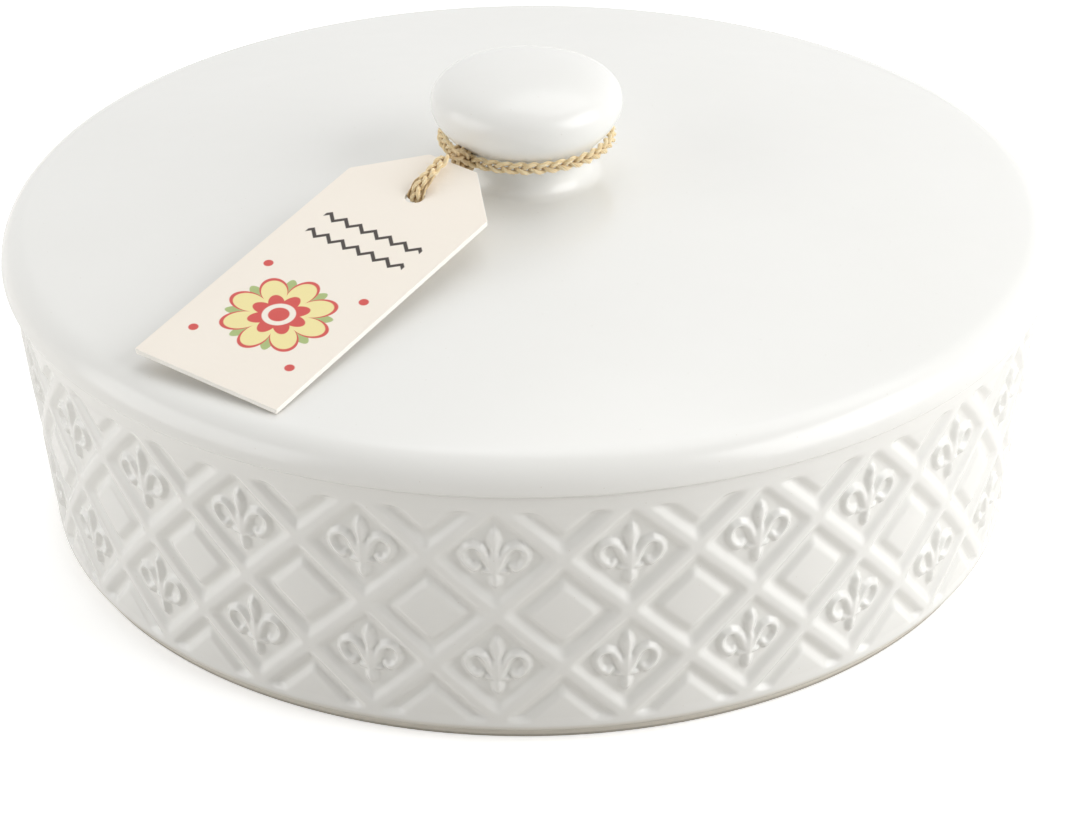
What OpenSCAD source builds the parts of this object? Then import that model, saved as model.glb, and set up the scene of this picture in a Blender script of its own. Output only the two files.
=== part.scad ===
// Round stoneware tortilla warmer: an embossed dish, a domed lid with a cast knob,
// and a chamfered card tag tied to the knob with jute twine.
// Lengths are millimetres, +Z is up and the origin is the centre of the foot.
// The tag hangs to the front left.

/* [Dish] */
// Outer radius of the dish at its rim
rim_r = 118.3; // [100:0.1:140]
// Height of the dish from the table to its rim
dish_h = 64.6; // [60:0.1:80]
// How far the wall leans outwards from the foot to the rim
wall_flare = 7.3; // [4:0.1:12]
// Thickness of the wall between the embossed bands
wall_t = 6.2; // [5:0.1:9]
// Thickness of the floor
floor_t = 4.4; // [4:0.1:8]
// Inside radius where the floor turns up into the wall
cove_r = 7; // [3:0.5:12]
// Height of the bare foot ring under the floor
foot_h = 3; // [1.5:0.1:3.5]
// Width of the bare foot ring
foot_w = 6; // [4:0.5:12]
// How far the foot ring stands in from the wall
foot_inset = 1.7; // [1:0.1:2.5]
// Rounding of the rim's edges
rim_round = 1; // [0.6:0.1:2]

/* [Embossed lattice] */
// Diamonds round the wall in one row
columns = 26; // [20:2:32]
// Height of the middle row of diamonds
row_mid_z = 33.8; // [32:0.1:36]
// Height from one row of diamonds to the next
row_pitch = 14.05; // [12:0.05:15]
// Turn of the pattern about the dish's axis
lattice_turn = -3.6; // [-7:0.1:7]
// Depth of the fields between the bands
relief_depth = 1.3; // [0.8:0.1:1.8]
// Width of a band at its crest
band_w = 2.6; // [1.5:0.1:4]
// Slope of a band's flank, sideways over the full depth
band_flank = 2.5; // [1:0.1:2.8]
// Smooth margin that is left below the rim
rim_margin = 4.6; // [3:0.1:8]
// Smooth margin that is left above the foot
foot_margin = 5.2; // [4.8:0.1:8]
// Width of the groove round a plain pad
groove_w = 0.8; // [0.5:0.1:1.5]
// Size of a lily as a share of its field
lily_share = 0.78; // [0.6:0.01:0.8]

/* [Lid] */
// How far the lid's edge reaches past the dish's rim
lid_overhang = 1.7; // [0.5:0.1:4]
// Height of the dome's top above the rim
dome_rise = 16.2; // [13:0.1:24]
// Radius of the lid's rounded shoulder
shoulder_r = 7.4; // [5:0.1:10]
// Rounding of the lid's lower edge
lid_edge_r = 1; // [0.6:0.1:2]
// Thickness of the lid
lid_t = 5.5; // [4:0.1:7]
// Depth of the locating ring under the lid
ring_h = 5; // [3:0.5:9]
// Width of the locating ring
ring_w = 5; // [4:0.5:8]
// Clearance between the locating ring and the dish's wall
ring_gap = 0.8; // [0.5:0.1:2]

/* [Knob] */
// Widest radius of the knob
knob_r = 21.7; // [19:0.1:26]
// Height of the widest part of the knob above the dome's top
knob_mid = 17.5; // [16:0.1:22]
// Height of the knob's crown above its widest part
knob_crown = 8.1; // [6:0.1:12]
// Narrowest radius of the neck
neck_r = 14.4; // [12:0.1:16]
// Height of the narrowest part of the neck above the dome's top
neck_z = 4.6; // [4:0.1:6]
// Width of the soft fillet where the neck meets the dome
neck_fillet = 3.6; // [2:0.1:6]

/* [Twine] */
// Thickness of the twine
twine_d = 2.6; // [2:0.1:3]
// Height of the neck loop above the dome's top
loop_z = 9.4; // [8:0.1:10]
// Clearance between the twine and what it goes round
twine_gap = 0.3; // [0.2:0.05:0.4]

/* [Tag] */
// Length of the tag
tag_l = 88; // [70:0.5:90]
// Width of the tag
tag_w = 37.6; // [30:0.1:45]
// Thickness of the card
tag_t = 1.2; // [0.8:0.1:2]
// How far the cut corners reach along the tied end
cut_x = 12.3; // [8:0.1:13]
// How far the cut corners reach along the sides
cut_y = 13.4; // [8:0.1:16]
// Diameter of the punched hole
hole_d = 4.4; // [4.4:0.1:6]
// Distance of the hole from the tied end
hole_in = 14.5; // [12:0.1:18]
// Distance of the hole from the lid's axis
tag_reach = 39.2; // [37:0.1:44]
// Clearance where the tag rests on the lid
tag_gap = 0.3; // [0.2:0.05:0.4]

/* [Hidden] */

// Dish
wall_lean = atan(wall_flare / dish_h);
function wall_r(z) = rim_r - wall_flare * (1 - z / dish_h);
function inner_r(z) = wall_r(z) - wall_t / cos(wall_lean);
floor_z = foot_h + floor_t;

// Lattice
row_zs = [for (i = [-2:2]) row_mid_z + i * row_pitch];
field = row_pitch - band_w / sqrt(2);
lily = lily_share * field;
over = 0.4;
beyond = 3;
root = 0.5;
crest = relief_depth - 0.25;

// Lid
lid_r = rim_r + lid_overhang;
apex_z = dish_h + dome_rise;
shoulder = [lid_r - shoulder_r, dish_h + lid_edge_r];
shoulder_drop = apex_z - shoulder.y;
dome_r = (shoulder.x ^ 2 + shoulder_drop ^ 2 - shoulder_r ^ 2) / (2 * (shoulder_drop - shoulder_r));
dome_edge = atan2(dome_r - shoulder_drop, shoulder.x);
function dome_z(r) = apex_z - dome_r + sqrt(dome_r ^ 2 - r ^ 2);
function ring_r(z) = inner_r(z) - ring_gap;
under_fillet = 2.5;

// Knob
knob_z = apex_z + knob_mid;
neck = [neck_r, apex_z + neck_z];
drop = knob_z - neck.y;

// Arc about a centre, from one angle to another.
function arc(c, r, a0, a1, n) =
    [for (i = [0:n]) let (a = a0 + (a1 - a0) * i / n) c + r * [cos(a), sin(a)]];

// Cubic curve from a to d, with b and c as its handles.
function curve(a, b, c, d, n) = [
    for (i = [0:n])
        let (t = i / n, s = 1 - t)
            s ^ 3 * a + 3 * s ^ 2 * t * b + 3 * s * t ^ 2 * c + t ^ 3 * d
];

// Underside of the knob, from its widest edge down to the neck.
knob_under = curve([knob_r, knob_z], [knob_r, knob_z - 0.44 * drop], neck + [0, 0.32 * drop], neck, 14);

// Twine: the neck loop lies as near to the knob's underside as its clearance allows.
loop_h = apex_z + loop_z;
reach = twine_d / 2 + twine_gap;
loop_r = max([
    for (p = knob_under)
        if (abs(p.y - loop_h) < reach) p.x + sqrt(reach ^ 2 - (p.y - loop_h) ^ 2)
]);

// The knot sits on the loop at the left, and the twine's tie runs from it to the tag.
knot_turn = -46;
knot = [loop_r * sin(knot_turn), -loop_r * cos(knot_turn), loop_h];
knot_r = 0.72 * twine_d;
tail = 6;
tail_rise = 3.6;
tail_r = 0.46 * twine_d;

// Tag: hung by its hole beside the knot, and leaning until a corner rests on the lid.
tag_side = -39;
tag_turn = -35;
tag_roll = 4.6;
hole = [tag_reach * sin(tag_side), -tag_reach * cos(tag_side), loop_h - 1.2];
to_hole = [hole.x - knot.x, hole.y - knot.y, 0];
tie_start = knot + tail * to_hole / norm(to_hole) + [0, 0, tail_rise];
function lid_top(r) = r < shoulder.x
    ? dome_z(r)
    : shoulder.y + sqrt(max(0, shoulder_r ^ 2 - (r - shoulder.x) ^ 2));
function over_lid(x, y) =
    let (p = [x, -y] * [[cos(tag_turn), sin(tag_turn)], [-sin(tag_turn), cos(tag_turn)]])
        hole.z - sin(tag_roll) * x - tag_t - tag_gap - lid_top(norm([hole.x + p.x, hole.y + p.y]));
function lean(shrink) = asin(min([
    for (i = [-0.5:0.25:0.5], j = [0.25:0.05:1])
        let (y = j * (tag_l - hole_in))
            over_lid(i * tag_w, y * shrink) / (cos(tag_roll) * y)
]));
tag_lean = lean(cos(lean(1)));

// Tie, in the tag's own frame: from the knot over the tied end, down through the hole and back below.
tie_route = [
    [-0.95, 13.2, 2.15],
    [-0.8, 11.2, 2.2],
    [-0.6, 8.6, 2.15],
    [-0.4, 5.6, 2.1],
    [-0.2, 3.1, 1.9],
    [0, 1.1, 1],
    [0, 0.2, -0.6],
    [0, 1.1, -2.3],
    [-0.15, 3.4, -3.2],
    [-0.4, 7, -3.4],
    [-0.6, 10.2, -3.6],
    [-0.8, 12.4, -3.5]
];

// Smooth path through points, with n steps between each pair.
function smooth(p, n) = let (m = len(p) - 1) concat(
    [
        for (i = [0:m - 1], j = [0:n - 1])
            let (a = p[max(i - 1, 0)], b = p[i], c = p[i + 1], d = p[min(i + 2, m)], t = j / n)
                b + t / 2 * ((c - a) + t * ((2 * a - 5 * b + 4 * c - d) + t * (3 * b - a - 3 * c + d)))
    ],
    [p[m]]
);

// Brings its children to the wall at a turn and a height, with X along the rim, Y up the wall and Z outwards.
module on_wall(turn, z) {
    rotate([0, 0, turn])
        translate([0, -wall_r(z), z])
            rotate([90 + wall_lean, 0, 0])
                children();
}

// Plain body of the dish, one turned profile from the foot to the rim.
module dish_blank() {
    rotate_extrude($fn = 208)
        polygon(concat(
            [[0, foot_h], [wall_r(0) - foot_inset - foot_w, foot_h], [wall_r(0) - foot_inset - foot_w, 0]],
            [[wall_r(0) - foot_inset, 0], [wall_r(0) - foot_inset, foot_h * 0.85]],
            arc([wall_r(foot_h) - rim_round, foot_h + rim_round * 0.6], rim_round, -60, 0, 5),
            arc([rim_r - rim_round, dish_h - rim_round], rim_round, 0, 90, 6),
            arc([inner_r(dish_h) + rim_round, dish_h - rim_round], rim_round, 90, 180, 6),
            arc([inner_r(floor_z + cove_r) - cove_r, floor_z + cove_r], cove_r, 0, -90, 12),
            [[0, floor_z]]
        ));
}

// Square on its point, with draft, standing on the floor of the relief.
module diamond(half, flank) {
    top = half + flank * (1 + over / relief_depth);
    translate([0, 0, -relief_depth])
        linear_extrude(height = relief_depth + over, scale = top / half)
            rotate(45)
                square(half * sqrt(2), center = true);
}

// Pointed leaf along Y, where two circles cross.
module leaf(l, w) {
    r = (w * w + l * l) / (4 * w);
    intersection_for(side = [-1, 1])
        translate([side * (r - w / 2), 0])
            circle(r, $fn = 96);
}

// Lily: a middle petal, two curled side petals, the cross band, two tips and the foot petal.
module fleur_de_lis(s) {
    translate([0, 0.31 * s])
        leaf(0.86 * s, 0.26 * s);
    translate([0, -0.6 * s])
        leaf(0.56 * s, 0.22 * s);
    translate([0, -0.27 * s])
        square([0.5 * s, 0.13 * s], center = true);
    for (side = [-1, 1]) {
        translate([side * 0.43 * s, 0.02 * s])
            difference() {
                circle(0.28 * s, $fn = 48);
                circle(0.17 * s, $fn = 48);
                rotate(side * 30 - 90)
                    translate([0, -0.06 * s])
                        square([0.4 * s, 0.12 * s]);
            }
        translate([side * 0.22 * s, -0.42 * s])
            rotate(side * 50)
                leaf(0.34 * s, 0.13 * s);
    }
}

// Everything that is sunk between the crossing bands: the plain fields leave a pad standing,
// the others a lily.
module fields() {
    inner = field - band_flank;
    for (row = [0:4], k = [0:columns - 1]) {
        plain = row % 2 == 0;
        on_wall(lattice_turn + (k + (plain ? 0.5 : 0)) * 360 / columns, row_zs[row])
            difference() {
                diamond(inner, band_flank);
                if (plain)
                    diamond(inner - groove_w, -band_flank);
                else
                    translate([0, 0.09 * lily, -relief_depth - root])
                        linear_extrude(height = root + crest)
                            fleur_de_lis(lily);
            }
    }
}

module relief_band() {
    z0 = foot_margin;
    z1 = dish_h - rim_margin;
    rotate_extrude($fn = 208)
        polygon([
            [wall_r(z0) - relief_depth, z0],
            [wall_r(z0) + beyond, z0],
            [wall_r(z1) + beyond, z1],
            [wall_r(z1) - relief_depth, z1]
        ]);
}

module dish() {
    color("ivory")
        difference() {
            dish_blank();
            intersection() {
                relief_band();
                fields();
            }
        }
}

// Lid and knob, cast in one piece: the outside from the crown to the seat, then the ring and the hollow dome.
module lid() {
    flare = neck.x + neck_fillet;
    ring_in = ring_r(dish_h - ring_h) - ring_w;
    hollow_r = dome_r - lid_t;
    hollow_z = apex_z - dome_r + sqrt(hollow_r ^ 2 - ring_in ^ 2);
    color("ivory")
        rotate_extrude($fn = 208)
            polygon(concat(
                curve([0, knob_z + knob_crown], [0.68 * knob_r, knob_z + knob_crown],
                    [knob_r, knob_z + 0.68 * knob_crown], [knob_r, knob_z], 12),
                [for (i = [1:14]) knob_under[i]],
                curve(neck, neck - [0, 0.6 * neck_z],
                    [neck.x + 0.3 * neck_fillet, dome_z(flare)], [flare, dome_z(flare)], 8),
                arc([0, apex_z - dome_r], dome_r, 90 - asin(flare / dome_r) - 0.2, dome_edge, 14),
                arc(shoulder, shoulder_r, dome_edge, 0, 12),
                arc([lid_r - lid_edge_r, shoulder.y], lid_edge_r, 0, -90, 5),
                [[ring_r(dish_h), dish_h], [ring_r(dish_h - ring_h), dish_h - ring_h + 1]],
                [[ring_r(dish_h - ring_h) - 1, dish_h - ring_h]],
                [[ring_in + 1, dish_h - ring_h], [ring_in, dish_h - ring_h + 1]],
                arc([ring_in - under_fillet, hollow_z - under_fillet], under_fillet, 0, 80, 5),
                arc([0, apex_z - dome_r], hollow_r, 90 - asin((ring_in - under_fillet) / hollow_r), 90, 12)
            ));
}

// Places its children in the tag's own frame: the hole's centre on the printed face, Y towards the tied end.
module at_tag() {
    translate(hole)
        rotate([tag_lean, tag_roll, tag_turn])
            children();
}

module tag() {
    end_y = hole_in;
    far_y = hole_in - tag_l;
    half = tag_w / 2;
    color("antiquewhite")
        at_tag()
            translate([0, 0, -tag_t])
                linear_extrude(height = tag_t)
                    difference() {
                        polygon([
                            [-half, far_y],
                            [half, far_y],
                            [half, end_y - cut_y],
                            [half - cut_x, end_y],
                            [cut_x - half, end_y],
                            [-half, end_y - cut_y]
                        ]);
                        circle(d = hole_d, $fn = 48);
                    }
}

// Closed round tube along a path that keeps away from the X direction.
module tube(path, r, sides) {
    n = len(path) - 1;
    function unit(v) = v / norm(v);
    function around(i) =
        let (t = unit(path[min(i + 1, n)] - path[max(i - 1, 0)]), u = unit(cross(t, [1, 0, 0])))
            [
                for (k = [0:sides - 1])
                    let (a = 360 * k / sides)
                        path[i] + r * (cos(a) * u + sin(a) * cross(t, u))
            ];
    polyhedron(
        points = [for (i = [0:n]) each around(i)],
        faces = concat(
            [[for (k = [0:sides - 1]) k]],
            [[for (k = [0:sides - 1]) (n + 1) * sides - 1 - k]],
            [
                for (i = [0:n - 1], k = [0:sides - 1])
                    let (a = i * sides + k, b = i * sides + (k + 1) % sides)
                        [a, a + sides, b + sides, b]
            ]
        )
    );
}

// One turn of twine round the knob's neck, with two crossed turns over it where the tie begins.
module twine_loop() {
    color("burlywood") {
        translate([0, 0, loop_h])
            rotate_extrude($fn = 96)
                translate([loop_r, 0])
                    circle(d = twine_d, $fn = 16);
        for (cross = [-1, 1])
            translate(knot)
                rotate([0, 0, knot_turn - 90])
                    rotate([90 + 22 * cross, 0, 0])
                        rotate(-110)
                            rotate_extrude(angle = 130, $fn = 48)
                                translate([knot_r, 0])
                                    circle(d = 0.8 * twine_d, $fn = 16);
        translate(knot)
            rotate([0, atan2(tail, tail_rise), atan2(to_hole.y, to_hole.x)])
                rotate_extrude($fn = 24)
                    polygon(concat(
                        [[0, 0], [tail_r, 0]],
                        arc([0, norm([tail, tail_rise])], tail_r, 0, 90, 5)
                    ));
    }
}

module tag_string() {
    color("burlywood")
        at_tag()
            tube(smooth(tie_route, 2), twine_d / 2, 8);
}

dish();
lid();
tag();
twine_loop();
tag_string();
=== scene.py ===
import math

import bmesh
import bpy
import numpy as np
from mathutils import Euler, Matrix, Vector


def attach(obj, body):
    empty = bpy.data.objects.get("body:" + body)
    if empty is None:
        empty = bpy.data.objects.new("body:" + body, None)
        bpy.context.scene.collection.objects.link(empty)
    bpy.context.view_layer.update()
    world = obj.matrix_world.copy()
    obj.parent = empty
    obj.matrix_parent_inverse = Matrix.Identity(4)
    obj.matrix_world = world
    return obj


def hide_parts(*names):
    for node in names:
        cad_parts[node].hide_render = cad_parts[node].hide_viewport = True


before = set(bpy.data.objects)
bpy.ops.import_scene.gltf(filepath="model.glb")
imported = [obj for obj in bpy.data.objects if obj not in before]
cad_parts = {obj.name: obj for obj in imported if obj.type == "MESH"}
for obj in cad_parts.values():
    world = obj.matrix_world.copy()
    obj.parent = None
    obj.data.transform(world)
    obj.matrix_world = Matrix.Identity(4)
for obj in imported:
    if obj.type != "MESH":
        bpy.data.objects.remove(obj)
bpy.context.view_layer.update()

mm = 0.001
scene = bpy.context.scene
scene.view_settings.view_transform = "Standard"


cameraSetup = {
    "lens": 120.94, "sensor": 36.0, "distance": 0.8474, "elevation": 28.2065, "roll": 0.4985,
    "lookHeight": 0.036, "shiftX": 0.01069, "shiftY": -0.06566,
}


def makeCamera(setup):
    data = bpy.data.cameras.new("camera")
    data.sensor_width, data.lens = setup["sensor"], setup["lens"]
    data.shift_x, data.shift_y = setup["shiftX"], setup["shiftY"]
    data.clip_start, data.clip_end = 0.01, 20
    e, roll = math.radians(setup["elevation"]), math.radians(setup["roll"])
    back = Vector((0, -math.cos(e), math.sin(e)))
    right, up = Vector((1, 0, 0)), Vector((0, math.sin(e), math.cos(e)))
    side = right * math.cos(roll) - up * math.sin(roll)
    top = right * math.sin(roll) + up * math.cos(roll)
    place = Matrix((side, top, back)).transposed().to_4x4()
    place.translation = back * setup["distance"] + Vector((0, 0, setup["lookHeight"]))
    camera = bpy.data.objects.new("camera", data)
    camera.matrix_world = place
    scene.collection.objects.link(camera)
    scene.camera = camera


makeCamera(cameraSetup)
print("camera placed")


def smoothStep(low, high, value):
    t = np.clip((value - low) / (high - low), 0, 1)
    return t * t * (3 - 2 * t)


def arc(cx, cz, r, a0, a1, n):
    angles = np.radians(np.linspace(a0, a1, n + 1))
    return [(cx + r * math.cos(a), cz + r * math.sin(a)) for a in angles]


def bezier(a, b, c, d, n):
    t = np.linspace(0, 1, n + 1)[:, None]
    a, b, c, d = (np.array(p, float) for p in (a, b, c, d))
    s = 1 - t
    return [tuple(p) for p in s ** 3 * a + 3 * s * s * t * b + 3 * s * t * t * c + t ** 3 * d]


def turned(profile, segments, turn):
    # Points and faces of a profile (radius, height) in mm, turned round Z; ends on the axis close at a pole.
    points, faces, rings = [], [], []
    for r, z in profile:
        if r < 1e-6:
            rings.append([len(points)] * segments)
            points.append((0, 0, z * mm))
            continue
        rings.append(list(range(len(points), len(points) + segments)))
        for k in range(segments):
            a = math.radians(turn) + 2 * math.pi * k / segments
            points.append((r * math.sin(a) * mm, -r * math.cos(a) * mm, z * mm))
    for low, high in zip(rings[:-1], rings[1:]):
        for k in range(segments):
            n = (k + 1) % segments
            face = [low[k], low[n], high[n], high[k]]
            face = [v for i, v in enumerate(face) if v not in face[:i]]
            faces.append(face)
    return points, faces


def makeMesh(name, points, faces):
    mesh = bpy.data.meshes.new(name)
    mesh.from_pydata([tuple(p) for p in points], [], faces)
    return mesh


def makeObject(name, mesh, material=None, smooth=True):
    piece = bpy.data.objects.new(name, mesh)
    scene.collection.objects.link(piece)
    if smooth:
        mesh.polygons.foreach_set("use_smooth", [True] * len(mesh.polygons))
    if material:
        mesh.materials.clear()
        mesh.materials.append(material)
    return piece


def cleanMesh(mesh, distance=1e-6):
    b = bmesh.new()
    b.from_mesh(mesh)
    bmesh.ops.remove_doubles(b, verts=b.verts, dist=distance)
    bmesh.ops.recalc_face_normals(b, faces=b.faces)
    b.to_mesh(mesh)
    b.free()
    mesh.update()


def addNode(tree, kind, inputs=None, **settings):
    made = tree.nodes.new(kind)
    for key, value in settings.items():
        setattr(made, key, value)
    for key, value in (inputs or {}).items():
        if isinstance(value, bpy.types.NodeSocket):
            tree.links.new(value, made.inputs[key])
        else:
            made.inputs[key].default_value = value
    return made


def calc(tree, operation, a, b=0.0):
    return addNode(tree, "ShaderNodeMath", {0: a, 1: b}, operation=operation).outputs[0]


def times(tree, a, b):
    return calc(tree, "MULTIPLY", a, b)


def plus(tree, a, b):
    return calc(tree, "ADD", a, b)


def less(tree, a, b):
    return calc(tree, "SUBTRACT", a, b)


def ranged(tree, value, fromRange, toRange=(0.0, 1.0), **settings):
    return addNode(tree, "ShaderNodeMapRange", {
        "Value": value, "From Min": fromRange[0], "From Max": fromRange[1], "To Min": toRange[0],
        "To Max": toRange[1]}, **settings).outputs[0]


def blended(tree, amount, first, second):
    # A mix of two colours; each is a socket or red, green and blue.
    first, second = ((*c, 1) if isinstance(c, tuple) else c for c in (first, second))
    return addNode(tree, "ShaderNodeMix", {0: amount, 6: first, 7: second}, data_type="RGBA").outputs[2]


def noise(tree, vector, scale, detail):
    made = addNode(tree, "ShaderNodeTexNoise", {"Vector": vector, "Scale": scale, "Detail": detail})
    return made.outputs["Fac"]


def addBump(tree, surface, strength, distance, height):
    bump = addNode(tree, "ShaderNodeBump", {"Strength": strength, "Distance": distance, "Height": height})
    tree.links.new(bump.outputs[0], surface.inputs["Normal"])


def newMaterial(name):
    material = bpy.data.materials.new(name)
    material.use_nodes = True
    return material, material.node_tree, material.node_tree.nodes["Principled BSDF"]


def outerRays(tree):
    # The rays that show the plain white studio: 1 for the camera and for what mirrors or passes light.
    ray = addNode(tree, "ShaderNodeLightPath").outputs
    seen = calc(tree, "MAXIMUM", ray["Is Camera Ray"],
                calc(tree, "MAXIMUM", ray["Is Glossy Ray"], ray["Is Transmission Ray"]))
    return ray["Is Camera Ray"], seen


def newTree(name, sizes):
    # A Geometry Nodes group with a geometry input, the named sizes and a geometry output.
    tree = bpy.data.node_groups.new(name, "GeometryNodeTree")
    tree.interface.new_socket("Geometry", in_out="INPUT", socket_type="NodeSocketGeometry")
    for label, (kind, value) in sizes.items():
        socket = tree.interface.new_socket(label, in_out="INPUT", socket_type="NodeSocket" + kind)
        if value is not None:
            socket.default_value = value
    tree.interface.new_socket("Geometry", in_out="OUTPUT", socket_type="NodeSocketGeometry")
    return tree, tree.nodes.new("NodeGroupInput"), tree.nodes.new("NodeGroupOutput")


def runTree(source, tree, values, name):
    # Puts the group on an object, sets its named inputs, and gives back the result as a plain mesh.
    modifier = source.modifiers.new("build", "NODES")
    modifier.node_group = tree
    for item in tree.interface.items_tree:
        if item.item_type == "SOCKET" and item.in_out == "INPUT" and item.name in values:
            modifier[item.identifier] = values[item.name]
    graph = bpy.context.evaluated_depsgraph_get()
    graph.update()
    mesh = bpy.data.meshes.new_from_object(source.evaluated_get(graph))
    mesh.name = name
    bpy.data.objects.remove(source)
    return mesh


glaze = {
    "colour": (0.885, 0.886, 0.867), "pooled": (0.84, 0.84, 0.812), "clay": (0.80, 0.765, 0.69),
    # On the next line the first colour is a painted contact shadow at the foot's base, and the second a painted
    # shadow line under the wall's lower edge.
    "contactShadow": (0.42, 0.39, 0.33), "line": (0.64, 0.60, 0.52), "shadowLineDepth": 0.7,
    "speck": (0.62, 0.57, 0.48), "speckScale": 260.0, "speckSize": 0.035, "speckDepth": 0.35,
    "roughness": 0.2, "clayRoughness": 0.6, "bump": 0.04, "pool": 0.35, "cloud": 0.35, "cloudScale": 22.0,
    # heights in mm between which each band of the foot fades: the bare clay, the painted contact shadow at its
    # base, and the painted shadow line under the wall's edge
    "bare": (2.3, 2.8), "contactShadowBand": (0.4, 0.9), "shadowLineStart": (2.6, 2.9), "shadowLineEnd": (3.3, 4.2),
}


def makeGlaze(name, pooled):
    # White gloss glaze: a little deeper where it pools, faint waves, tiny specks, and bare clay on the foot,
    # darkened at its base by painted contact shadow and under the wall's edge by a painted shadow line.
    material, tree, surface = newMaterial(name)
    place = addNode(tree, "ShaderNodeTexCoord").outputs["Object"]
    cloud = noise(tree, place, glaze["cloudScale"], 3.0)
    amount = ranged(tree, cloud, (0.3, 0.7), (0.0, glaze["cloud"]))
    if pooled:
        stored = addNode(tree, "ShaderNodeAttribute", attribute_name="pool").outputs["Fac"]
        amount = calc(tree, "MINIMUM", plus(tree, amount, times(tree, stored, glaze["pool"])), 1.0)
    mixed = blended(tree, amount, glaze["colour"], glaze["pooled"])
    cells = addNode(tree, "ShaderNodeTexVoronoi", {"Vector": place, "Scale": glaze["speckScale"]})
    speck = calc(tree, "LESS_THAN", cells.outputs["Distance"], glaze["speckSize"])
    speck = times(tree, speck, glaze["speckDepth"])
    dotted = blended(tree, speck, mixed, glaze["speck"])
    height = times(tree, addNode(tree, "ShaderNodeSeparateXYZ", {0: place}).outputs["Z"], 1 / mm)
    bare = ranged(tree, height, glaze["bare"], (1.0 if pooled else 0.0, 0.0))
    # painted contact shadow: the foot turns dark towards the floor, where its shade falls
    foot = blended(tree, ranged(tree, height, glaze["contactShadowBand"], (1.0, 0.0)), glaze["clay"], glaze["contactShadow"])
    clay = blended(tree, bare, dotted, foot)
    # A thin brown line of painted shadow stands where the glaze ends over the foot, under the wall's lower
    # edge; it also stands for the glaze thinning there.
    line = times(tree, ranged(tree, height, glaze["shadowLineStart"]),
                 ranged(tree, height, glaze["shadowLineEnd"], (glaze["shadowLineDepth"], 0.0)))
    tree.links.new(blended(tree, line, clay, glaze["line"]), surface.inputs["Base Color"])
    gloss = ranged(tree, cloud, (0.0, 1.0), (glaze["roughness"] - 0.04, glaze["roughness"] + 0.05))
    rough = plus(tree, gloss, times(tree, bare, glaze["clayRoughness"]))
    tree.links.new(rough, surface.inputs["Roughness"])
    relief = plus(tree, noise(tree, place, 60.0, 2.0), times(tree, noise(tree, place, 900.0, 2.0), 0.02))
    addBump(tree, surface, glaze["bump"], 2 * mm, relief)
    surface.inputs["IOR"].default_value = 1.5
    return material


dishGlaze = makeGlaze("dishGlaze", True)
lidGlaze = makeGlaze("lidGlaze", False)


dish = {
    "rimRadius": 118.3, "height": 64.6, "flare": 7.3, "wall": 6.2, "floor": 4.4, "cove": 7.0,
    "footHeight": 3.0, "footWidth": 6.0, "footInset": 1.7, "rimRound": 1.0,
}
lattice = {
    "columns": 26, "turn": -3.6, "rowMid": 33.8, "rowPitch": 14.05, "depth": 1.3,
    "tile": 28.0, "corner": 1.3, "crest": 0.6, "flankEnd": 3.0, "padStart": 3.3, "padEnd": 5.4,
    "padDepth": 0.15, "petalStart": 1.6, "petalEnd": 3.0, "low": 4.5, "high": 61.2, "edgeBand": 0.5,
    "fadeLow": (5.0, 6.3), "fadeHigh": (60.6, 58.9), "soften": 0.3,
    "acrossCells": 52, "heightCells": 216, "edgeCells": 4, "triangles": 3100,
}
lily = {     # ridges in mm from the middle of a diamond: points (x, y, half width)
    "middlePetal": [(0, 8.0, 0.25), (0, 6.6, 1.0), (0, 5.0, 1.5), (0, 3.4, 1.25), (0, 1.8, 0.7)],
    "heart": [(0, 2.2, 0.8), (0, 0.4, 1.45), (0, -1.6, 1.35), (0, -2.8, 1.0)],
    "footPetal": [(0, -3.6, 0.7), (0, -5.0, 1.4), (0, -6.1, 1.15), (0, -7.7, 0.25)],
    "band": [(-2.2, -3.1, 0.7), (2.2, -3.1, 0.7)],
    "curl": [(0.7, -2.6, 0.7), (1.5, -0.2, 0.95), (2.2, 1.7, 1.0), (3.2, 3.0, 1.0), (4.5, 3.5, 0.95),
             (5.9, 2.9, 0.9), (6.7, 1.5, 0.85), (6.5, -0.1, 0.8), (5.6, -1.5, 0.85), (4.3, -2.4, 1.05)],
    "hook": [(4.3, -2.4, 1.05), (3.5, -1.7, 0.75)],
    "height": 1.25, "fullWidth": 0.9,
}


def wallRadius(z):
    return dish["rimRadius"] - dish["flare"] * (1 - z / dish["height"])


def innerRadius(z):
    lean = math.atan(dish["flare"] / dish["height"])
    return wallRadius(z) - dish["wall"] / math.cos(lean)


def ridge(x, y, stroke):
    # Rounded ridge along a stroke, 1 on its crest and 0 at its edge.
    best = np.zeros_like(x)
    for (ax, ay, ar), (bx, by, br) in zip(stroke[:-1], stroke[1:]):
        dx, dy = bx - ax, by - ay
        t = np.clip(((x - ax) * dx + (y - ay) * dy) / (dx * dx + dy * dy), 0, 1)
        distance = np.hypot(x - ax - t * dx, y - ay - t * dy)
        radius = ar + t * (br - ar)
        roundness = np.sqrt(np.clip(1 - (distance / radius) ** 2, 0, 1))
        best = np.maximum(best, roundness * np.minimum(1, radius / lily["fullWidth"]))
    return best


def lilyHeight(x, y):
    side = np.abs(x)
    parts = [ridge(x, y, lily[part]) for part in ("middlePetal", "heart", "footPetal", "band")]
    parts += [ridge(side, y, lily[part]) for part in ("curl", "hook")]
    return np.maximum.reduce(parts) * lily["height"]


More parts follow.
